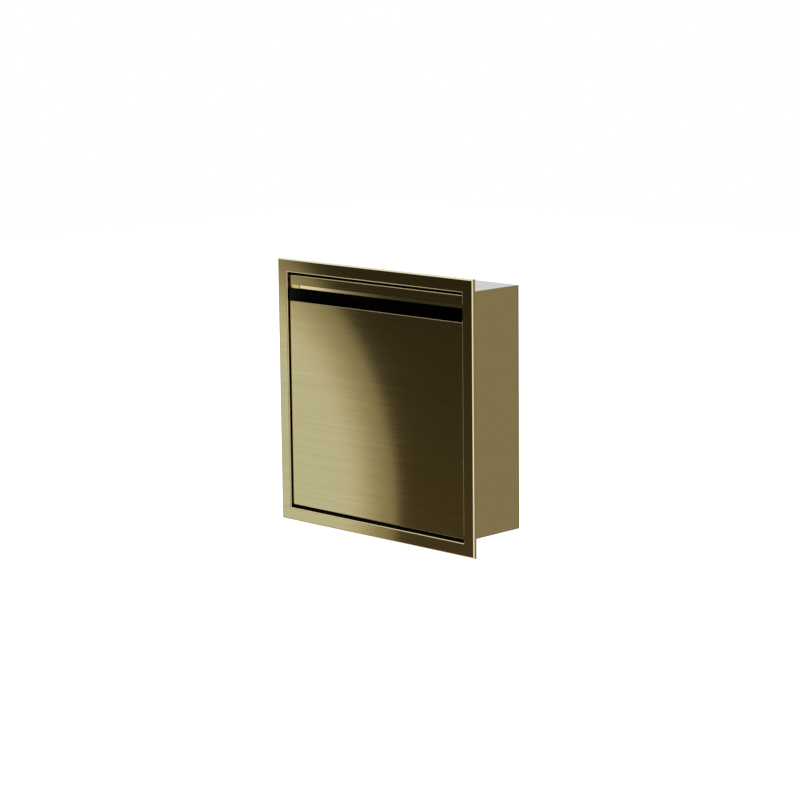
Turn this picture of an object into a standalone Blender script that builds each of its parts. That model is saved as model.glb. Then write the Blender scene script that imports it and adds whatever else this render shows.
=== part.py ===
"""Recessed wall letterbox in brushed brass, square flange, lifting letter flap and drop-down door.

Metres, +Z up. +X is the right-hand side seen from the street, +Y points into the wall.
The origin is the centre of the back panel's rear face, so the front is at Y = -DEPTH.
"""

import math

import bmesh
import bpy
from mathutils import Matrix, Vector

# Driving dimensions, in metres.
FLANGE = 0.320           # side of the square front flange
FLANGE_THICK = 0.0045
DEPTH = 0.096            # front of the flange to the back of the box
SHEET = 0.0012           # sheet of the box
NECK_HALF = 0.1452       # half the outer width and height of the neck that takes the door
BODY_HALF = 0.1429       # the same of the box behind the neck
NECK_DEPTH = 0.0192      # where the neck steps in to the box, clear of the swinging door
FIT = 0.0003             # gap between faces that touch
EDGE = 0.0010            # rounding of the flange's edge around the opening
FLANGE_ROUND = 0.0020    # rounding of the flange's outer edge
SEAL_THICK = 0.0015

DOOR_HALF_X = 0.1422
DOOR_TOP = 0.1093
DOOR_BOTTOM = -0.1401
DOOR_FRONT = 0.0030      # how far the door's face lies behind the flange's face
DOOR_SKIN = 0.0020
DOOR_RIM = 0.0010
DOOR_RIM_DEPTH = 0.0110
DOOR_ROUND = 0.0007      # bend radius of the door's front edges
PAN_DEPTH = 0.0085       # front of the door's inner pan behind the door's face
PAN_SHEET = 0.0010

HINGE_DEPTH = 0.0100     # door hinge axis behind the flange's face
HINGE_Z = -0.1328
HINGE_X = 0.1000
PIN_R = 0.0015
BORE_R = 0.0016
PIN_SIDES = 24

FLAP_HALF_X = 0.1408
FLAP_FRONT = 0.0035
FLAP_SHEET = 0.0015
FLAP_TOP = 0.1406
FLAP_LOW = 0.1294
FLAP_FOLD = 0.0110       # how far back the flap's folded top reaches
LIP_LOW = 0.1249
LIP_SET = 0.0002         # lip's upper edge behind the flap's face
LIP_LEAN = 0.0011        # how far the lip's lower edge leans back
ROD_DEPTH = 0.0085
ROD_Z = 0.1360
SPLIT_X = -0.1270        # joint between the fixed spring block and the moving lip
SPLIT_GAP = 0.0012

CATCH_Z = 0.0820         # middle of the magnetic catches
CATCH_WIDTH = 0.0180
CATCH_HEIGHT = 0.0320
CATCH_DEPTH = 0.0200

RIVET_R = 0.0015         # shank
RIVET_HOLE_R = 0.0017
RIVET_HEAD_R = 0.0028
RIVET_HEAD_H = 0.0011
RIVET_SIDES = 16
ROUND_SIDES = 24
SMOOTH_ANGLE = math.radians(35.0)

INNER_HALF = BODY_HALF - SHEET
OPENING_HALF = NECK_HALF - SHEET
FRAME_BACK = FLANGE_THICK + FIT
BACK_FRONT = DEPTH - SHEET


def y_at(depth):
    """World Y of a plane that lies depth behind the flange's front face."""
    return depth - DEPTH


def clear_scene():
    for old in list(bpy.data.objects):
        bpy.data.objects.remove(old, do_unlink=True)


def make_material(name, colour, roughness, metallic):
    made = bpy.data.materials.new(name)
    made.use_nodes = True
    shader = made.node_tree.nodes["Principled BSDF"]
    shader.inputs["Base Color"].default_value = (*colour, 1.0)
    shader.inputs["Roughness"].default_value = roughness
    shader.inputs["Metallic"].default_value = metallic
    return made


def make_materials():
    return {
        "brass": make_material("brushed_brass", (0.50, 0.40, 0.19), 0.32, 1.0),
        "bright": make_material("polished_brass", (0.68, 0.55, 0.27), 0.15, 1.0),
        "dark": make_material("dark_coating", (0.015, 0.014, 0.013), 0.60, 0.0),
        "steel": make_material("zinc_steel", (0.55, 0.55, 0.56), 0.35, 1.0),
        "rubber": make_material("black_rubber", (0.020, 0.020, 0.020), 0.85, 0.0),
        "plastic": make_material("black_plastic", (0.030, 0.030, 0.032), 0.50, 0.0),
        "magnet": make_material("nickel_magnet", (0.62, 0.61, 0.58), 0.22, 1.0),
    }


def finish_object(name, build, material):
    """Turns a bmesh into a named object with one material and faces that point out."""
    bmesh.ops.recalc_face_normals(build, faces=build.faces)
    mesh = bpy.data.meshes.new(name)
    build.to_mesh(mesh)
    build.free()
    made = bpy.data.objects.new(name, mesh)
    bpy.context.scene.collection.objects.link(made)
    if material is not None:
        mesh.materials.append(material)
    return made


def rectangle(half_x, low_z, high_z, depth):
    """Four corners of an upright rectangle, at one depth."""
    y = y_at(depth)
    return [
        Vector((-half_x, y, low_z)),
        Vector((half_x, y, low_z)),
        Vector((half_x, y, high_z)),
        Vector((-half_x, y, high_z)),
    ]


def square(half, depth):
    return rectangle(half, -half, half, depth)


def loft(name, rings, material, around=False):
    """Joins rings of corners in order: around closes the last to the first, otherwise the ends are capped."""
    build = bmesh.new()
    loops = [[build.verts.new(point) for point in ring] for ring in rings]
    pairs = list(zip(loops, loops[1:]))
    if around:
        pairs.append((loops[-1], loops[0]))
    else:
        build.faces.new(loops[0])
        build.faces.new(loops[-1])
    count = len(loops[0])
    for first, second in pairs:
        for i in range(count):
            j = (i + 1) % count
            build.faces.new((first[i], first[j], second[j], second[i]))
    return finish_object(name, build, material)


def prism(name, outline, x_low, x_high, material):
    """An outline of (depth, z) points, drawn out along X."""
    rings = [[Vector((x, y_at(depth), z)) for depth, z in outline] for x in (x_low, x_high)]
    return loft(name, rings, material)


def block(name, low, high, material, bevel=0.0):
    """A box between two corners given as (x, depth, z), with its edges eased."""
    build = bmesh.new()
    size = Vector(high) - Vector(low)
    middle = (Vector(high) + Vector(low)) / 2.0
    place = Matrix.Translation((middle.x, y_at(middle.y), middle.z)) @ Matrix.Diagonal((*size, 1.0))
    bmesh.ops.create_cube(build, size=1.0, matrix=place)
    if bevel > 0.0:
        bmesh.ops.bevel(build, geom=build.edges[:], offset=bevel, segments=2, affect="EDGES", profile=0.5)
    return finish_object(name, build, material)


def turned(name, profile, place, material, sides=ROUND_SIDES):
    """A profile of (radius, height) points turned about Z, then placed. Radius 0 closes an end."""
    build = bmesh.new()
    rings = []
    for radius, height in profile:
        if radius == 0.0:
            rings.append([build.verts.new((0.0, 0.0, height))])
            continue
        turn = [2.0 * math.pi * (i + 0.5) / sides for i in range(sides)]
        rings.append([build.verts.new((radius * math.cos(a), radius * math.sin(a), height)) for a in turn])
    for first, second in zip(rings, rings[1:]):
        for i in range(sides):
            j = (i + 1) % sides
            corners = [first[i % len(first)], first[j % len(first)]]
            corners += [second[j % len(second)], second[i % len(second)]]
            build.faces.new(list(dict.fromkeys(corners)))
    build.transform(place)
    made = finish_object(name, build, material)
    made.data.shade_smooth()
    made.data.set_sharp_from_angle(angle=SMOOTH_ANGLE)
    return made


def along_x(x, depth, z):
    """Placement that turns a piece's own Z axis along +X."""
    return Matrix.Translation((x, y_at(depth), z)) @ Matrix.Rotation(math.pi / 2.0, 4, "Y")


def along_y(x, depth, z):
    """Placement that turns a piece's own Z axis along +Y, into the wall."""
    return Matrix.Translation((x, y_at(depth), z)) @ Matrix.Rotation(-math.pi / 2.0, 4, "X")


def rod(name, radius, length, place, material, sides=ROUND_SIDES, ease=0.0003):
    profile = [(0.0, 0.0), (radius - ease, 0.0), (radius, ease)]
    profile += [(radius, length - ease), (radius - ease, length), (0.0, length)]
    return turned(name, profile, place, material, sides)


def cut(target, cutter):
    """Takes the cutter's shape out of the target."""
    cutter.hide_render = True
    cutter.display_type = "WIRE"
    step = target.modifiers.new(cutter.name, "BOOLEAN")
    step.operation = "DIFFERENCE"
    step.solver = "EXACT"
    step.object = cutter


def bore(target, name, radius, length, place):
    cut(target, turned(name, [(0.0, 0.0), (radius, 0.0), (radius, length), (0.0, length)], place, None, PIN_SIDES))


def arc(centre, radius, start, stop, steps):
    """Points of an arc of (depth, z), angles in degrees from +depth towards +z."""
    points = []
    for i in range(steps + 1):
        angle = math.radians(start + (stop - start) * i / steps)
        points.append((centre[0] + radius * math.cos(angle), centre[1] + radius * math.sin(angle)))
    return points


def round_edge(half_x, low_z, high_z, front, radius, steps):
    """Rings that round the front edge of a plate, from its face to its sides."""
    rings = []
    for depth, out in arc((front + radius, -radius), radius, 180.0, 90.0, steps):
        rings.append(rectangle(half_x + out, low_z - out, high_z + out, depth))
    return rings


def make_flange(look):
    outer = FLANGE / 2.0
    rings = [square(OPENING_HALF + EDGE - out, depth) for depth, out in arc((EDGE, 0.0), EDGE, 90.0, 180.0, 5)]
    rings += round_edge(outer, -outer, outer, 0.0, FLANGE_ROUND, 7)
    rings += [square(outer, FLANGE_THICK), square(OPENING_HALF, FLANGE_THICK)]
    return loft("front_flange", rings, look["brass"], around=True)


def make_wall_seal(look):
    back = FRAME_BACK + SEAL_THICK
    set_in = 0.003
    neck_gap = 0.0005
    outer = FLANGE / 2.0 - set_in
    inner = NECK_HALF + neck_gap
    rings = [square(inner, FRAME_BACK), square(outer, FRAME_BACK), square(outer, back), square(inner, back)]
    return loft("wall_seal", rings, look["rubber"], around=True)


def make_sleeve(look):
    """Four-sided box with a wider neck in front, open at both ends."""
    back = BACK_FRONT - FIT
    step = NECK_DEPTH
    rings = [
        square(OPENING_HALF, FRAME_BACK),
        square(NECK_HALF, FRAME_BACK),
        square(NECK_HALF, step + SHEET),
        square(BODY_HALF, step + SHEET),
        square(BODY_HALF, back),
        square(INNER_HALF, back),
        square(INNER_HALF, step),
        square(OPENING_HALF, step),
    ]
    return loft("housing_sleeve", rings, look["brass"], around=True)


def make_back_panel(look):
    """Back sheet with a folded rim that fits inside the sleeve, and four fixing holes."""
    rim_out = INNER_HALF - FIT
    rim_in = rim_out - SHEET
    rim_depth = 0.010
    rim_front = BACK_FRONT - rim_depth
    rings = [
        square(BODY_HALF, DEPTH),
        square(BODY_HALF, BACK_FRONT),
        square(rim_out, BACK_FRONT),
        square(rim_out, rim_front),
        square(rim_in, rim_front),
        square(rim_in, BACK_FRONT),
    ]
    panel = loft("back_panel", rings, look["brass"])
    reach = 0.100
    hole_r = 0.0030
    margin = 0.005
    for i, (x, z) in enumerate(((-reach, -reach), (reach, -reach), (reach, reach), (-reach, reach))):
        bore(panel, f"fixing_hole_cut_{i + 1}", hole_r, 2.0 * margin, along_y(x, BACK_FRONT - margin, z))


def make_deflector(look):
    """Sloped sheet that turns letters down into the box, with a fold at each end."""
    t = SHEET
    top = INNER_HALF - FIT
    back = BACK_FRONT - FIT
    fold = 0.012
    low_z = 0.070
    high_depth = 0.052
    outline = [
        (high_depth - fold, top),
        (high_depth - fold, top - t),
        (high_depth, top - t),
        (back - t, low_z),
        (back - t, low_z - fold),
        (back, low_z - fold),
        (back, low_z + t),
        (high_depth + t, top),
    ]
    side_gap = 0.001
    half = INNER_HALF - FIT - SHEET - side_gap
    sheet = prism("letter_deflector", outline, -half, half, look["dark"])
    rivet_x = 0.100
    rivet_y = y_at(high_depth - fold / 2.0)
    margin = 0.002
    for side, label in ((-1.0, "left"), (1.0, "right")):
        start = Matrix.Translation((side * rivet_x, rivet_y, top - t - margin))
        bore(sheet, f"deflector_hole_cut_{label}", RIVET_HOLE_R, t + 2.0 * margin, start)
        seat = Matrix.Translation((side * rivet_x, rivet_y, top - t - FIT)) @ Matrix.Rotation(math.pi, 4, "X")
        make_rivet(f"deflector_rivet_{label}", seat, t, look["steel"])


def make_rivet(name, place, grip, material):
    """Dome-headed rivet: the head stands along +Z of its place, and the shank runs back through the grip."""
    profile = [(0.0, -grip), (RIVET_R, -grip), (RIVET_R, 0.0), (RIVET_HEAD_R, 0.0)]
    for angle in (30.0, 60.0):
        a = math.radians(angle)
        profile.append((RIVET_HEAD_R * math.cos(a), RIVET_HEAD_H * math.sin(a)))
    profile.append((0.0, RIVET_HEAD_H))
    turned(name, profile, place, material, RIVET_SIDES)


def make_door_skin(look):
    """Face plate with a folded rim all round, open behind, notched below for the two hinges."""
    front = DOOR_FRONT
    rim_back = front + DOOR_RIM_DEPTH
    rim = DOOR_RIM
    half = DOOR_HALF_X
    inside = front + DOOR_SKIN
    rings = round_edge(half, DOOR_BOTTOM, DOOR_TOP, front, DOOR_ROUND, 4)
    rings += [
        rectangle(half, DOOR_BOTTOM, DOOR_TOP, rim_back),
        rectangle(half - rim, DOOR_BOTTOM + rim, DOOR_TOP - rim, rim_back),
        rectangle(half - rim, DOOR_BOTTOM + rim, DOOR_TOP - rim, inside),
    ]
    skin = loft("door_skin", rings, look["brass"])
    notch = 0.0145
    notch_high = 0.004
    bend_left = 0.0004
    margin = 0.002
    for side, label in ((-1.0, "left"), (1.0, "right")):
        low = (side * HINGE_X - notch, inside + bend_left, DOOR_BOTTOM - margin)
        high = (side * HINGE_X + notch, rim_back + margin, DOOR_BOTTOM + notch_high)
        cut(skin, block(f"door_notch_cut_{label}", low, high, None))


def make_door_pan(look):
    """Inner sheet that stiffens the door, pressed with a raised field and notched for the hinges."""
    half = DOOR_HALF_X - DOOR_RIM - FIT
    low = DOOR_BOTTOM + DOOR_RIM + FIT
    high = DOOR_TOP - DOOR_RIM - FIT
    front = DOOR_FRONT + PAN_DEPTH
    back = front + PAN_SHEET
    step = 0.020
    draw = 0.0025
    slope = 0.004
    outer = [rectangle(half, low, high, back), rectangle(half, low, high, front)]
    field = [
        rectangle(half - step, low + step, high - step, front),
        rectangle(half - step - slope, low + step + slope, high - step - slope, front - draw),
    ]
    back_field = [
        rectangle(half - step - slope, low + step + slope, high - step - slope, back - draw),
        rectangle(half - step, low + step, high - step, back),
    ]
    # The two skins of the sheet are each capped in the middle and joined around the rim.
    rings = [field[1], field[0], outer[1], outer[0], back_field[1], back_field[0]]
    pan = loft("door_pan", rings, look["dark"])
    notch = 0.0150
    notch_top = HINGE_Z + 0.0085
    margin = 0.002
    for side, label in ((-1.0, "left"), (1.0, "right")):
        corner = (side * HINGE_X - notch, front - margin, low - margin)
        other = (side * HINGE_X + notch, back + margin, notch_top)
        cut(pan, block(f"pan_notch_cut_{label}", corner, other, None))


def hinge_bracket_outline(leg_front, foot_thick, foot_back):
    """Round nose at the pin, an arm that runs back, a leg down and a foot on the floor of the box."""
    floor = -INNER_HALF + FIT
    nose = 0.0040
    arm_low = HINGE_Z - 0.0035
    arm_front = HINGE_DEPTH + 0.0020
    leg_back = leg_front + 0.0040
    points = arc((HINGE_DEPTH, HINGE_Z), nose, 90.0, 240.0, 10)
    points += [(arm_front, arm_low), (leg_front, arm_low), (leg_front, floor), (foot_back, floor)]
    points += [(foot_back, floor + foot_thick), (leg_back, floor + foot_thick), (leg_back, HINGE_Z + nose)]
    return points


def make_hinge_bracket(centre, label, look):
    """Steel bracket with two ears for the pin and a riveted foot."""
    half = 0.0110
    leg_front = HINGE_DEPTH + 0.0115
    foot_thick = 0.0020
    foot_back = leg_front + 0.0200
    outline = hinge_bracket_outline(leg_front, foot_thick, foot_back)
    bracket = prism(f"hinge_bracket_{label}", outline, centre - half, centre + half, look["steel"])
    slot_half = 0.0063
    slot_back = leg_front - 0.0030
    low = (centre - slot_half, HINGE_DEPTH - 0.0060, HINGE_Z - 0.0120)
    high = (centre + slot_half, slot_back, HINGE_Z + 0.0060)
    cut(bracket, block(f"ear_slot_cut_{label}", low, high, None))
    cross = half + 0.0040
    start = along_x(centre - cross, HINGE_DEPTH, HINGE_Z)
    bore(bracket, f"ear_bore_cut_{label}", BORE_R, 2.0 * cross, start)
    floor = -INNER_HALF + FIT
    rivet_y = y_at(foot_back - 0.0070)
    rivet_x = 0.0060
    margin = 0.0010
    for i, x in enumerate((centre - rivet_x, centre + rivet_x)):
        hole = Matrix.Translation((x, rivet_y, floor - margin))
        bore(bracket, f"foot_hole_cut_{label}_{i + 1}", RIVET_HOLE_R, foot_thick + 2.0 * margin, hole)
        seat = Matrix.Translation((x, rivet_y, floor + foot_thick + FIT))
        make_rivet(f"hinge_rivet_{label}_{i + 1}", seat, foot_thick, look["steel"])


def make_hinge_lug(centre, label, look):
    """The door's half of the hinge, a bored lug that turns between the bracket's ears."""
    face = DOOR_FRONT + DOOR_SKIN + FIT
    reach = 0.0036
    half = 0.0060
    outline = [(face, HINGE_Z - reach)]
    outline += arc((HINGE_DEPTH, HINGE_Z), reach, -90.0, 90.0, 10)
    outline += [(face, HINGE_Z + reach)]
    lug = prism(f"hinge_lug_{label}", outline, centre - half, centre + half, look["steel"])
    cross = half + 0.0040
    bore(lug, f"lug_bore_cut_{label}", BORE_R, 2.0 * cross, along_x(centre - cross, HINGE_DEPTH, HINGE_Z))


def make_hinge(side, label, look):
    centre = side * HINGE_X
    make_hinge_bracket(centre, label, look)
    make_hinge_lug(centre, label, look)
    pin_half = 0.0118
    place = along_x(centre - pin_half, HINGE_DEPTH, HINGE_Z)
    rod(f"hinge_pin_{label}", PIN_R, 2.0 * pin_half, place, look["steel"], PIN_SIDES)


def make_catch(side, label, look):
    """Magnetic catch on the side wall, its steel strike on the door's pan, and a rubber buffer."""
    wall = side * (INNER_HALF - FIT)
    inner = side * (INNER_HALF - CATCH_WIDTH)
    pan_back = DOOR_FRONT + PAN_DEPTH + PAN_SHEET
    strike_thick = 0.0012
    front = pan_back + 2.0 * strike_thick
    low = (min(wall, inner), front, CATCH_Z - CATCH_HEIGHT / 2.0)
    high = (max(wall, inner), front + CATCH_DEPTH, CATCH_Z + CATCH_HEIGHT / 2.0)
    body = block(f"catch_body_{label}", low, high, look["plastic"], 0.0006)
    centre = side * (INNER_HALF - CATCH_WIDTH / 2.0)
    magnet_z = CATCH_Z + 0.0060
    half_x, half_z, magnet_depth, magnet_proud = 0.0055, 0.0069, 0.0080, 0.0006
    pocket_x, pocket_z, pocket_depth = half_x + FIT, half_z + FIT, magnet_depth + FIT
    low = (centre - pocket_x, front - 0.0010, magnet_z - pocket_z)
    high = (centre + pocket_x, front + pocket_depth, magnet_z + pocket_z)
    cut(body, block(f"magnet_pocket_cut_{label}", low, high, None))
    low = (centre - half_x, front - magnet_proud, magnet_z - half_z)
    high = (centre + half_x, front + magnet_depth, magnet_z + half_z)
    block(f"catch_magnet_{label}", low, high, look["magnet"], 0.0003)
    back = pan_back + FIT
    low = (centre - half_x, back, magnet_z - half_z)
    high = (centre + half_x, back + strike_thick, magnet_z + half_z)
    block(f"strike_plate_{label}", low, high, look["steel"], 0.0002)
    buffer_r = 0.0034
    place = along_y(centre, back, CATCH_Z - 0.0090)
    rod(f"door_buffer_{label}", buffer_r, front - back - FIT, place, look["rubber"], 20, 0.0004)


def make_flap_plate(look):
    """Bent brass sheet with its top folded back, cut away at both ends to clear the supports."""
    inside = FLAP_FRONT + FLAP_SHEET
    bend = 0.0012
    fold_top = FLAP_TOP - FLAP_SHEET
    outline = [(FLAP_FRONT, FLAP_LOW)]
    outline += arc((FLAP_FRONT + bend, FLAP_TOP - bend), bend, 180.0, 90.0, 6)
    outline += [(FLAP_FOLD, FLAP_TOP), (FLAP_FOLD, fold_top), (inside, fold_top), (inside, FLAP_LOW)]
    plate = prism("flap_plate", outline, -FLAP_HALF_X, FLAP_HALF_X, look["brass"])
    margin = 0.001
    relief_low = FLAP_TOP - 0.004
    relief_back = FLAP_FOLD + 2.0 * margin
    right_relief = 0.0060
    low = (-FLAP_HALF_X - margin, inside, relief_low)
    high = (SPLIT_X + SPLIT_GAP, relief_back, FLAP_TOP + margin)
    cut(plate, block("flap_relief_cut_left", low, high, None))
    low = (FLAP_HALF_X - right_relief, inside, relief_low)
    high = (FLAP_HALF_X + margin, relief_back, FLAP_TOP + margin)
    cut(plate, block("flap_relief_cut_right", low, high, None))


def make_flap_lip(look):
    """Solid bar under the flap plate, its face leaning back and its lower edges eased."""
    top = FLAP_LOW - FIT
    front = FLAP_FRONT + LIP_SET
    low_front = FLAP_FRONT + LIP_LEAN
    back = 0.0066
    ease = 0.0004
    outline = [(front, top), (back, top), (back, LIP_LOW + ease), (back - ease, LIP_LOW)]
    outline += [(low_front + ease, LIP_LOW), (low_front, LIP_LOW + ease)]
    prism("flap_lip", outline, SPLIT_X + SPLIT_GAP, FLAP_HALF_X, look["bright"])


def make_flap_arms(look):
    """Two bored arms behind the flap plate that turn on the rod."""
    face = FLAP_FRONT + FLAP_SHEET + FIT
    thick = 0.0022
    width = 0.0035
    reach = 0.0027
    low = ROD_Z - 0.0068
    outline = [(face, low), (face + thick, low)]
    outline += arc((ROD_DEPTH, ROD_Z), reach, -35.0, 90.0, 8)
    outline += [(face, ROD_Z + reach)]
    cross = 0.0040
    for x, label in ((SPLIT_X + 0.0030, "left"), (FLAP_HALF_X - 0.0130, "right")):
        arm = prism(f"flap_arm_{label}", outline, x, x + width, look["steel"])
        bore(arm, f"arm_bore_cut_{label}", BORE_R, width + 2.0 * cross, along_x(x - cross, ROD_DEPTH, ROD_Z))


def make_spring_block(wall, front, back, top, look):
    """Fixed block at the left end of the flap that holds the rod and the spring's fixed end."""
    lip_top = FLAP_LOW - FIT
    outline = [(FLAP_FRONT + LIP_LEAN, LIP_LOW), (back, LIP_LOW), (back, top), (ROD_DEPTH - 0.0017, top)]
    outline += [(ROD_DEPTH - 0.0026, ROD_Z + 0.0016), (front, ROD_Z), (front, lip_top)]
    outline += [(FLAP_FRONT + LIP_SET, lip_top)]
    spring_block = prism("spring_block", outline, -wall, SPLIT_X, look["bright"])
    margin = 0.0010
    relief_back = 0.0075
    low = (-wall - margin, 0.0, LIP_LOW - margin)
    high = (-FLAP_HALF_X, relief_back, top + margin)
    cut(spring_block, block("block_relief_cut", low, high, None))
    bore_depth = 0.0070
    start = along_x(SPLIT_X - bore_depth, ROD_DEPTH, ROD_Z)
    bore(spring_block, "block_bore_cut", BORE_R, bore_depth + 0.0010, start)


def make_flap_bracket(wall, front, back, top, look):
    """Steel hanger at the right end of the flap, with a plastic bush for the rod."""
    plate_x = wall - 0.0025
    ease = 0.0004
    low = LIP_LOW + 0.0010
    outline = [(front + ease, low), (back, low), (back, top), (ROD_DEPTH - 0.0017, top), (front + ease, ROD_Z)]
    bracket = prism("flap_bracket", outline, plate_x, wall, look["steel"])
    bush_hole_r = 0.0025
    bore(bracket, "bracket_bore_cut", bush_hole_r, 0.0100, along_x(plate_x - 0.0040, ROD_DEPTH, ROD_Z))
    bush_r = bush_hole_r - FIT
    bush_length = 0.0032
    profile = [(BORE_R, 0.0), (bush_r, 0.0), (bush_r, bush_length), (BORE_R, bush_length)]
    make_bush("rod_bush", profile, along_x(plate_x - 0.0004, ROD_DEPTH, ROD_Z), look["plastic"])


def make_flap_supports(look):
    """Spring block, right-hand bracket and the rod that runs between them."""
    wall = OPENING_HALF - FIT
    top = ROD_Z + 0.0027
    front = FLAP_FRONT + FLAP_SHEET + FIT
    back = 0.0130
    make_spring_block(wall, front, back, top, look)
    make_flap_bracket(wall, front, back, top, look)
    start = SPLIT_X - 0.0060
    stop = wall - 0.0010
    rod("flap_rod", PIN_R, stop - start, along_x(start, ROD_DEPTH, ROD_Z), look["steel"], PIN_SIDES)


def make_bush(name, profile, place, material):
    """A ring turned about Z from a closed profile of (radius, height) points."""
    build = bmesh.new()
    rings = []
    for radius, height in profile:
        turn = [2.0 * math.pi * (i + 0.5) / PIN_SIDES for i in range(PIN_SIDES)]
        rings.append([build.verts.new((radius * math.cos(a), radius * math.sin(a), height)) for a in turn])
    for first, second in zip(rings, rings[1:] + rings[:1]):
        for i in range(PIN_SIDES):
            j = (i + 1) % PIN_SIDES
            build.faces.new((first[i], first[j], second[j], second[i]))
    build.transform(place)
    finish_object(name, build, material)


def make_flap_spring(look):
    """Torsion spring around the rod, a coil of round wire with a straight leg at each end."""
    turns = 7
    steps = 14
    coil_r = 0.0022
    wire_r = 0.0003
    start = SPLIT_X + 0.0085
    pitch = 0.00085
    fixed_leg = 0.0045
    flap_leg = 0.0008
    points = [(start, fixed_leg, -coil_r)]
    for i in range(turns * steps + 1):
        angle = 2.0 * math.pi * i / steps - math.pi / 2.0
        points.append((start + pitch * i / steps, coil_r * math.cos(angle), coil_r * math.sin(angle)))
    points.append((start + pitch * turns, -flap_leg, -coil_r))
    curve = bpy.data.curves.new("flap_spring", "CURVE")
    curve.dimensions = "3D"
    curve.bevel_depth = wire_r
    curve.bevel_resolution = 1
    curve.use_fill_caps = True
    path = curve.splines.new("POLY")
    path.points.add(len(points) - 1)
    for spot, (x, back, up) in zip(path.points, points):
        spot.co = (x, y_at(ROD_DEPTH) + back, ROD_Z + up, 1.0)
    curve.materials.append(look["steel"])
    bpy.context.scene.collection.objects.link(bpy.data.objects.new("flap_spring", curve))


def main():
    clear_scene()
    look = make_materials()
    make_flange(look)
    make_wall_seal(look)
    make_sleeve(look)
    make_back_panel(look)
    make_deflector(look)
    make_door_skin(look)
    make_door_pan(look)
    for side, label in ((-1.0, "left"), (1.0, "right")):
        make_hinge(side, label, look)
        make_catch(side, label, look)
    make_flap_plate(look)
    make_flap_lip(look)
    make_flap_arms(look)
    make_flap_supports(look)
    make_flap_spring(look)


main()
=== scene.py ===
import math

import bmesh
import bpy
from mathutils import Matrix, Vector


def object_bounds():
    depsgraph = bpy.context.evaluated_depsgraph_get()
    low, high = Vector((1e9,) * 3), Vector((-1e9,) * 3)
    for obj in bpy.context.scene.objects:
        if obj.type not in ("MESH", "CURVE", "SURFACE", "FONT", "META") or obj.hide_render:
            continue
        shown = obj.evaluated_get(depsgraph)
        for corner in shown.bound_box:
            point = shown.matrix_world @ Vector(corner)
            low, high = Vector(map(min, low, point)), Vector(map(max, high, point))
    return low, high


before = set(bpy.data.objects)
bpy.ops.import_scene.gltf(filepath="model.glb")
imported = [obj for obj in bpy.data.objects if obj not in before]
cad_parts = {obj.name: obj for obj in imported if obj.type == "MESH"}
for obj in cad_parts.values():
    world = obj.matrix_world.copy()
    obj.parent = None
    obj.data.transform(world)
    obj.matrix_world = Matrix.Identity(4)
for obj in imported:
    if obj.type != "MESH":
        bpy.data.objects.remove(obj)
CAD_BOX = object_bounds()

FRONT = CAD_BOX[0].y


# ---------------------------------------------------------------- node trees

class Tree:
    """A node tree, with short calls for the nodes used here."""

    def __init__(self, tree):
        self.tree = tree

    def node(self, kind, **settings):
        made = self.tree.nodes.new(kind)
        for name, value in settings.items():
            setattr(made, name, value)
        return made

    def link(self, source, target):
        self.tree.links.new(source, target)

    def feed(self, value, socket):
        """Link an output to a socket, or set the socket to a number, a vector or a colour."""
        if isinstance(value, bpy.types.NodeSocket):
            self.link(value, socket)
        elif socket.type == "RGBA":
            socket.default_value = (*value, 1.0)
        else:
            socket.default_value = value

    def coordinate(self, name):
        return self.node("ShaderNodeTexCoord").outputs[name]

    def axes(self, vector):
        """The parts of a vector, to be picked by "X", "Y" or "Z"."""
        parts = self.node("ShaderNodeSeparateXYZ")
        self.link(vector, parts.inputs[0])
        return parts.outputs

    def math(self, operation, first, second):
        made = self.node("ShaderNodeMath", operation=operation)
        for value, socket in zip((first, second), made.inputs):
            self.feed(value, socket)
        return made.outputs["Value"]

    def vector_math(self, operation, *vectors):
        """A dot product or a distance gives a number, the other operations give a vector."""
        made = self.node("ShaderNodeVectorMath", operation=operation)
        for value, socket in zip(vectors, made.inputs):
            self.feed(value, socket)
        return made.outputs["Value" if operation in ("DOT_PRODUCT", "DISTANCE") else "Vector"]

    def remap(self, value, low, high, to_low=0.0, to_high=1.0, smooth=False):
        made = self.node("ShaderNodeMapRange")
        made.interpolation_type = "SMOOTHSTEP" if smooth else "LINEAR"
        limits = {"From Min": low, "From Max": high, "To Min": to_low, "To Max": to_high}
        for name, number in limits.items():
            made.inputs[name].default_value = number
        self.link(value, made.inputs["Value"])
        return made.outputs["Result"]

    def mix(self, factor, first, second):
        """The first colour where the factor is 0, the second where it is 1."""
        made = self.node("ShaderNodeMix", data_type="RGBA")
        for value, name in ((factor, "Factor"), (first, "A"), (second, "B")):
            self.feed(value, made.inputs[name])
        return made.outputs["Result"]

    def blend(self, first, second, share):
        """The first value by its share, plus the second by the rest."""
        parts = (self.math("MULTIPLY", first, share), self.math("MULTIPLY", second, 1.0 - share))
        return self.math("ADD", *parts)


# ---------------------------------------------------------------- materials

# Noise scales across the grain and along it, per metre
FINE_SCRATCHES = (3200.0, 60.0)
MEDIUM_LINES = (1100.0, 14.0)
LONG_STREAKS = (330.0, 3.2)
BRASS_CLOUDS = 7.0
SPECKLED_CLOUDS = 24.0
X, Y = 0, 1

# How much of a sum the first of two noises makes up
FINE_SHARE, LINES_SHARE, STREAK_SHARE, SPECK_SHARE = 0.45, 0.6, 0.6, 0.6

NOISE_SPAN = (0.30, 0.70)
ROUGHNESS_VARIES = 0.15
GRAIN_STRENGTH, GRAIN_DEPTH = 0.16, 0.00003
SPECK_DEPTH = 0.00005

# A face is inside when it looks at the middle line from this far out (m) or this much forwards
INSIDE_REACH = 0.05
INSIDE_FORWARD = 0.5
# A face is part of an eased edge when no axis takes this much of its normal
SQUARE_TO_AXIS = 0.985

# Near-black and rougher on the inward faces of the box: painted shade where the inside stays
# dark
PAINTED_SHADE_INSIDE = (0.006, 0.006, 0.006)
PAINTED_SHADE_INSIDE_ROUGHER = 0.5


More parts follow.
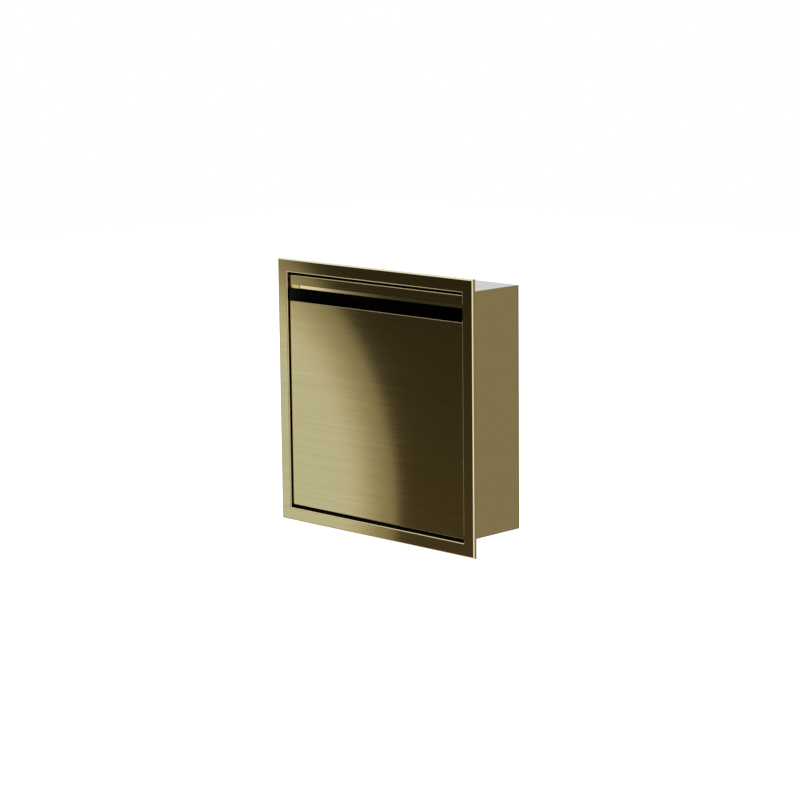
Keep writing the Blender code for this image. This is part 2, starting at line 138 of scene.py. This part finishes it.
class Shader(Tree):
    """The node tree of one material of the object."""

    def __init__(self, name):
        self.material = bpy.data.materials.new(name)
        self.material.use_nodes = True
        super().__init__(self.material.node_tree)
        self.bsdf = self.tree.nodes["Principled BSDF"]
        self.place = self.coordinate("Object")

    def wear(self, **sources):
        """Link or set inputs of the surface. An underscore in a name stands for a space."""
        for name, value in sources.items():
            self.feed(value, self.bsdf.inputs[name.replace("_", " ")])

    def noise(self, scale, detail=2.0, rough=0.5):
        mapping = self.node("ShaderNodeMapping")
        mapping.inputs["Scale"].default_value = scale
        self.link(self.place, mapping.inputs["Vector"])
        made = self.node("ShaderNodeTexNoise")
        made.inputs["Scale"].default_value = 1.0
        made.inputs["Detail"].default_value = detail
        made.inputs["Roughness"].default_value = rough
        self.link(mapping.outputs["Vector"], made.inputs["Vector"])
        return made.outputs["Fac"]

    def roughness(self, noise, middle):
        low, high = middle * (1.0 - ROUGHNESS_VARIES), middle * (1.0 + ROUGHNESS_VARIES)
        return self.remap(noise, *NOISE_SPAN, low, high)

    def bump(self, height, strength, distance):
        made = self.node("ShaderNodeBump")
        made.inputs["Strength"].default_value = strength
        made.inputs["Distance"].default_value = distance
        self.link(height, made.inputs["Height"])
        self.wear(Normal=made.outputs["Normal"])

    def face_normal(self):
        return self.node("ShaderNodeNewGeometry").outputs["True Normal"]


def stretched(scales, along):
    """Noise scales for lines that run along one axis."""
    across, lengthways = scales
    return [lengthways if axis == along else across for axis in range(3)]


def painted_shade_mask(made):
    """1 on faces that look in towards the middle of the box or out through its mouth: where
    shade is painted.
    """
    normal = made.face_normal()
    from_middle = made.vector_math("MULTIPLY", made.place, (1.0, 0.0, 1.0))
    outward = made.vector_math("DOT_PRODUCT", from_middle, normal)
    inward = made.math("LESS_THAN", outward, -INSIDE_REACH)
    forward = made.math("LESS_THAN", made.axes(normal)["Y"], -INSIDE_FORWARD)
    return made.math("MAXIMUM", inward, forward)


def edge_mask(made):
    """1 on rounded and bevelled edges, 0 on faces square to an axis."""
    parts = made.axes(made.vector_math("ABSOLUTE", made.face_normal()))
    largest = made.math("MAXIMUM", made.math("MAXIMUM", parts["X"], parts["Y"]), parts["Z"])
    return made.math("LESS_THAN", largest, SQUARE_TO_AXIS)


def brushed_metal(name, along, colour, deep, rough, spread, depth=1.0, inside_painted_shade=False, edge_highlight=None):
    """Brushed brass: fine scratches along one axis, long streaks, faint cloudiness.

    One flag paints near-black shade over the faces that look inwards, and one colour paints a
    paler highlight over the eased edges.
    """
    made = Shader(name)
    fine = made.noise(stretched(FINE_SCRATCHES, along))
    medium = made.noise(stretched(MEDIUM_LINES, along), detail=3.0, rough=0.6)
    streak = made.noise(stretched(LONG_STREAKS, along), detail=4.0, rough=0.75)
    cloud = made.noise([BRASS_CLOUDS] * 3)
    grain = made.blend(made.blend(fine, medium, FINE_SHARE), streak, LINES_SHARE)
    shade = made.mix(made.remap(grain, *NOISE_SPAN), deep, colour)
    gloss = made.roughness(made.blend(streak, cloud, STREAK_SHARE), rough)
    metal = 1.0
    # Paler colour on the eased edges: painted highlight
    if edge_highlight:
        shade = made.mix(edge_mask(made), shade, edge_highlight)
    # Inward faces turn near-black, rougher and not metal: painted shade
    if inside_painted_shade:
        shaded_inside = painted_shade_mask(made)
        shade = made.mix(shaded_inside, shade, PAINTED_SHADE_INSIDE)
        gloss = made.math("ADD", gloss, made.math("MULTIPLY", shaded_inside, PAINTED_SHADE_INSIDE_ROUGHER))
        metal = made.math("SUBTRACT", 1.0, shaded_inside)
    made.bump(grain, GRAIN_STRENGTH * depth, GRAIN_DEPTH)
    upright = made.node("ShaderNodeCombineXYZ")
    upright.inputs["Z"].default_value = 1.0
    made.wear(Base_Color=shade, Roughness=gloss, Metallic=metal)
    made.wear(Anisotropic=spread, Tangent=upright.outputs["Vector"])
    return made.material


def speckled(name, colour, deep, grain, rough, depth, metallic=0.0):
    """Even material with a fine grain and a slow change of tone."""
    made = Shader(name)
    speck = made.noise([grain] * 3)
    cloud = made.noise([SPECKLED_CLOUDS] * 3, detail=3.0)
    tone = made.blend(speck, cloud, SPECK_SHARE)
    shade = made.mix(made.remap(tone, *NOISE_SPAN), deep, colour)
    made.bump(speck, depth, SPECK_DEPTH)
    made.wear(Base_Color=shade, Roughness=made.roughness(tone, rough), Metallic=metallic)
    return made.material


BRASS = (0.640, 0.502, 0.222)
BRASS_DEEP = (0.490, 0.378, 0.155)
BRASS_SATIN = (0.590, 0.462, 0.203)
# Paler brass on the eased edges: painted highlight
BRASS_EDGE_HIGHLIGHT = (0.850, 0.765, 0.500)
BRASS_EDGE_HIGHLIGHT_SOFT = (0.720, 0.620, 0.380)
# Lighter brass on the flap lip: painted highlight
LIP_BRASS_LIT = (0.800, 0.660, 0.370)
LIP_DEEP_LIT = (0.740, 0.600, 0.320)
# Bright yellow brass on the spring block: painted reflection
BLOCK_BRASS_LIT = (0.960, 0.800, 0.260)
BLOCK_DEEP_LIT = (0.920, 0.740, 0.210)

# What each piece is made of, by its name or by how its name begins
WEARS = {
    "flange": ("front_flange",),
    "front": ("door_skin", "flap_plate"),
    "side": ("housing_sleeve",),
    "back": ("back_panel",),
    "lip": ("flap_lip",),
    "block": ("spring_block",),
    # Near-black deflector and door pan: painted shade inside the box
    "painted_shade_coat": ("letter_deflector", "door_pan"),
    "rubber": ("wall_seal", "door_buffer"),
    "steel": (
        "deflector_rivet", "hinge_", "strike_plate",
        "flap_arm", "flap_bracket", "flap_rod", "flap_spring",
    ),
    "plastic": ("catch_body", "rod_bush"),
    "magnet": ("catch_magnet",),
}


def make_materials():
    face = dict(colour=BRASS, deep=BRASS_DEEP, rough=0.068, spread=0.70)
    box = dict(colour=BRASS, deep=BRASS_SATIN, rough=0.30, spread=0.30, inside_painted_shade=True)
    smooth = dict(spread=0.2, depth=0.4)
    return {
        "flange": brushed_metal("brass_flange", X, edge_highlight=BRASS_EDGE_HIGHLIGHT, **face),
        "front": brushed_metal("brass_brushed_across", X, edge_highlight=BRASS_EDGE_HIGHLIGHT_SOFT, **face),
        "side": brushed_metal("brass_brushed_side", Y, depth=0.3, **box),
        "back": brushed_metal("brass_brushed_back", X, depth=0.4, **box),
        # The lip's lighter brass is a painted highlight
        "lip": brushed_metal("brass_lip_painted_highlight", X, LIP_BRASS_LIT, LIP_DEEP_LIT, rough=0.07, **smooth),
        # The block's bright yellow brass is a painted reflection
        "block": brushed_metal("brass_block_painted_reflection", X, BLOCK_BRASS_LIT, BLOCK_DEEP_LIT, rough=0.12, **smooth),
        # Near-black for the deflector and door pan: painted shade inside the box
        "painted_shade_coat": speckled(
            "dark_coating", (0.010, 0.009, 0.008), (0.004, 0.004, 0.004),
            grain=900.0, rough=0.65, depth=0.2,
        ),
        "rubber": speckled(
            "black_rubber", (0.020, 0.020, 0.020), (0.011, 0.011, 0.011),
            grain=1400.0, rough=0.80, depth=0.4,
        ),
        "steel": speckled(
            "zinc_steel", (0.62, 0.62, 0.63), (0.48, 0.48, 0.50),
            grain=500.0, rough=0.32, depth=0.15, metallic=1.0,
        ),
        "plastic": speckled(
            "black_plastic", (0.032, 0.032, 0.034), (0.022, 0.022, 0.024),
            grain=1800.0, rough=0.50, depth=0.5,
        ),
        "magnet": speckled(
            "nickel_plate", (0.68, 0.66, 0.62), (0.58, 0.56, 0.52),
            grain=300.0, rough=0.20, depth=0.1, metallic=1.0,
        ),
    }


def dress(look):
    for node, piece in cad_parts.items():
        kind = next(kind for kind, names in WEARS.items() if node.startswith(names))
        for slot in piece.material_slots:
            slot.material = look[kind]


# ---------------------------------------------------------------- stage

# Everything on the stage is in metres. The panels stand in front of the box and to its left.
STUDIO_Y = FRONT - 1.5
LOW_PANEL_Y = STUDIO_Y + 0.01
FLAG_Y = STUDIO_Y - 0.02

DISC_CENTRE = (-2.002, STUDIO_Y, -0.585)
DISC_RADIUS = 0.545
DISC_BOTTOM = -0.85
DISC_SIDES = 96
DISC_STOPS = (
    (0.0, (0.86, 1.00, 1.26)), (0.66, (0.86, 1.00, 1.26)), (0.76, (0.86, 0.97, 1.16)),
    (0.84, (0.66, 0.68, 0.70)), (0.92, (0.44, 0.44, 0.40)), (1.0, (0.36, 0.34, 0.29)),
)

LOW_PANEL = dict(left=-2.9, right=-1.84, low=-1.85, high=-0.92)
LOW_FADE = (-2.15, -1.84)
LOW_STOPS = (
    (0.0, (1.10, 1.13, 1.16)), (0.29, (1.04, 1.04, 1.05)), (0.48, (0.36, 0.35, 0.30)),
    (0.78, (0.16, 0.15, 0.11)), (1.0, (0.045, 0.04, 0.03)),
)

FLAG = dict(left=-4.2, right=0.45, low=-2.4, high=0.85)
FLAG_UPPER = (0.036, 0.034, 0.024)
FLAG_LOWER, FLAG_LOWER_FADE = (0.092, 0.078, 0.052), (-0.10, -0.70)
FLAG_FOOT, FLAG_FOOT_FADE = (0.040, 0.038, 0.030), (-0.75, -0.95)

ROOM_WARM = (1.00, 0.95, 0.88)
ROOM_COOL, COOL_WAY, COOL_FADE = (0.86, 1.03, 1.46), (-0.70, 0.69, 0.17), (0.55, 0.85)
ROOM_DIM, DIM_WAY, DIM_FADE = (0.350, 0.340, 0.320), (0.69, 0.70, -0.17), (0.45, 0.80)

FLOOR_Z, FLOOR_REACH = -1.0, 9.0
FLOOR_GLOW = 0.55

OVERHEAD_PLACE = (-0.5, 0.6, 1.8)
OVERHEAD_SIZE = 1.4
OVERHEAD_WATTS = 3.0

SENSOR_MM, LENS_MM = 36.0, 115.36
CAMERA_DISTANCE = 2.9926
CAMERA_ANGLES = (44.75, 10.07, -0.64)
CAMERA_TO_RIGHT, CAMERA_UP = 0.03165, 0.00506
CLIP_NEAR, CLIP_FAR = 0.05, 60.0


class Light(Tree):
    """The node tree of a world or of a light panel."""

    def __init__(self, tree, output):
        super().__init__(tree)
        tree.nodes.clear()
        self.out = self.node(output)

    def ramp(self, value, stops):
        made = self.node("ShaderNodeValToRGB")
        band = made.color_ramp
        while len(band.elements) < len(stops):
            band.elements.new(0.5)
        for element, (position, colour) in zip(band.elements, stops):
            element.position = position
            element.color = (*colour, 1.0)
        self.link(value, made.inputs[0])
        return made.outputs[0]


def rectangle(left, right, low, high):
    return [(left, low), (right, low), (right, high), (left, high)]


def stage_mesh(name, outline, y=None, z=None):
    """A flat sheet from an outline, upright at y or lying at z."""
    build = bmesh.new()
    build.faces.new([build.verts.new((a, b, z) if y is None else (a, y, b)) for a, b in outline])
    mesh = bpy.data.meshes.new(name)
    build.to_mesh(mesh)
    build.free()
    made = bpy.data.objects.new(name, mesh)
    bpy.context.scene.collection.objects.link(made)
    return made


def panel_light(name, outline, y, colour_of):
    """An upright panel of light that shows only as a reflection.

    colour_of takes the panel's tree and its coordinates and gives its colour.
    """
    panel = stage_mesh(name, outline, y=y)
    material = bpy.data.materials.new(name)
    material.use_nodes = True
    light = Light(material.node_tree, "ShaderNodeOutputMaterial")
    glow = light.node("ShaderNodeEmission")
    light.link(colour_of(light, light.coordinate("Object")), glow.inputs["Color"])
    light.link(glow.outputs[0], light.out.inputs["Surface"])
    panel.data.materials.append(material)
    panel.visible_camera = False


def disc_colour(light, place):
    """Cool white in the middle, falling off to a dim neutral limb."""
    from_centre = light.vector_math("DISTANCE", place, DISC_CENTRE)
    return light.ramp(light.remap(from_centre, 0.0, DISC_RADIUS), DISC_STOPS)


def low_colour(light, place):
    """Cool white on the left, falling off quickly to the right."""
    return light.ramp(light.remap(light.axes(place)["X"], *LOW_FADE), LOW_STOPS)


def flag_colour(light, place):
    """Nearly black above, a little lighter below, dark again at the foot."""
    height = light.axes(place)["Z"]
    wall = light.mix(light.remap(height, *FLAG_LOWER_FADE), FLAG_UPPER, FLAG_LOWER)
    return light.mix(light.remap(height, *FLAG_FOOT_FADE), wall, FLAG_FOOT)


def make_studio():
    turns = [2.0 * math.pi * i / DISC_SIDES for i in range(DISC_SIDES)]
    middle_x, _, middle_z = DISC_CENTRE
    round_x = [middle_x + DISC_RADIUS * math.cos(a) for a in turns]
    round_z = [max(middle_z + DISC_RADIUS * math.sin(a), DISC_BOTTOM) for a in turns]
    disc = list(zip(round_x, round_z))
    panel_light("softbox_round", disc, STUDIO_Y, disc_colour)
    panel_light("softbox_low", rectangle(**LOW_PANEL), LOW_PANEL_Y, low_colour)
    panel_light("flag_front", rectangle(**FLAG), FLAG_Y, flag_colour)


def make_world():
    """White to the camera. The metal mirrors a warm room, dim behind right, cool behind left."""
    world = bpy.data.worlds.new("studio")
    bpy.context.scene.world = world
    world.use_nodes = True
    light = Light(world.node_tree, "ShaderNodeOutputWorld")
    way = light.coordinate("Generated")
    cool = light.remap(light.vector_math("DOT_PRODUCT", way, COOL_WAY), *COOL_FADE, smooth=True)
    dim = light.remap(light.vector_math("DOT_PRODUCT", way, DIM_WAY), *DIM_FADE, smooth=True)
    room = light.node("ShaderNodeBackground")
    walls = light.mix(cool, ROOM_WARM, ROOM_COOL)
    light.link(light.mix(dim, walls, ROOM_DIM), room.inputs["Color"])
    paper = light.node("ShaderNodeBackground")
    paper.inputs["Color"].default_value = (1.0, 1.0, 1.0, 1.0)
    either = light.node("ShaderNodeMixShader")
    seen = light.node("ShaderNodeLightPath").outputs["Is Camera Ray"]
    for socket, source in zip(either.inputs, (seen, room.outputs[0], paper.outputs[0])):
        light.link(source, socket)
    light.link(either.outputs[0], light.out.inputs["Surface"])


def make_floor():
    """White paper that lights the box from below and shows in no reflection."""
    outline = rectangle(-FLOOR_REACH, FLOOR_REACH, -FLOOR_REACH, FLOOR_REACH)
    floor = stage_mesh("floor", outline, z=FLOOR_Z)
    floor.visible_glossy = False
    paper = Shader("floor")
    paper.wear(
        Base_Color=(0.92, 0.92, 0.92), Roughness=0.9,
        Emission_Color=(1.0, 1.0, 1.0), Emission_Strength=FLOOR_GLOW,
    )
    floor.data.materials.append(paper.material)


def make_overhead():
    """A dim square light above, turned to the middle of the box."""
    data = bpy.data.lights.new("overhead", "AREA")
    data.shape = "SQUARE"
    data.size = OVERHEAD_SIZE
    data.energy = OVERHEAD_WATTS
    made = bpy.data.objects.new("overhead", data)
    made.location = OVERHEAD_PLACE
    made.rotation_mode = "QUATERNION"
    made.rotation_quaternion = (-Vector(OVERHEAD_PLACE)).to_track_quat("-Z", "Y")
    made.visible_camera = False
    bpy.context.scene.collection.objects.link(made)


def make_camera():
    """A camera in a fixed direction, aimed a little beside the flange's middle."""
    data = bpy.data.cameras.new("camera")
    data.sensor_width, data.lens = SENSOR_MM, LENS_MM
    data.clip_start, data.clip_end = CLIP_NEAR, CLIP_FAR
    camera = bpy.data.objects.new("camera", data)
    azimuth, elevation, roll = (math.radians(angle) for angle in CAMERA_ANGLES)
    level = math.cos(elevation)
    back = Vector((math.sin(azimuth) * level, -math.cos(azimuth) * level, math.sin(elevation)))
    right = Vector((math.cos(azimuth), math.sin(azimuth), 0.0))
    up = right.cross(-back)
    right, up = (
        math.cos(roll) * right + math.sin(roll) * up,
        math.cos(roll) * up - math.sin(roll) * right,
    )
    aim = Vector((0.0, FRONT, 0.0)) + CAMERA_TO_RIGHT * right + CAMERA_UP * up
    turn = Matrix((right, up, back)).transposed().to_4x4()
    camera.matrix_world = Matrix.Translation(aim + back * CAMERA_DISTANCE) @ turn
    bpy.context.scene.collection.objects.link(camera)
    bpy.context.scene.camera = camera


bpy.context.scene.view_settings.view_transform = "Standard"
dress(make_materials())
make_world()
make_floor()
make_studio()
make_overhead()
make_camera()
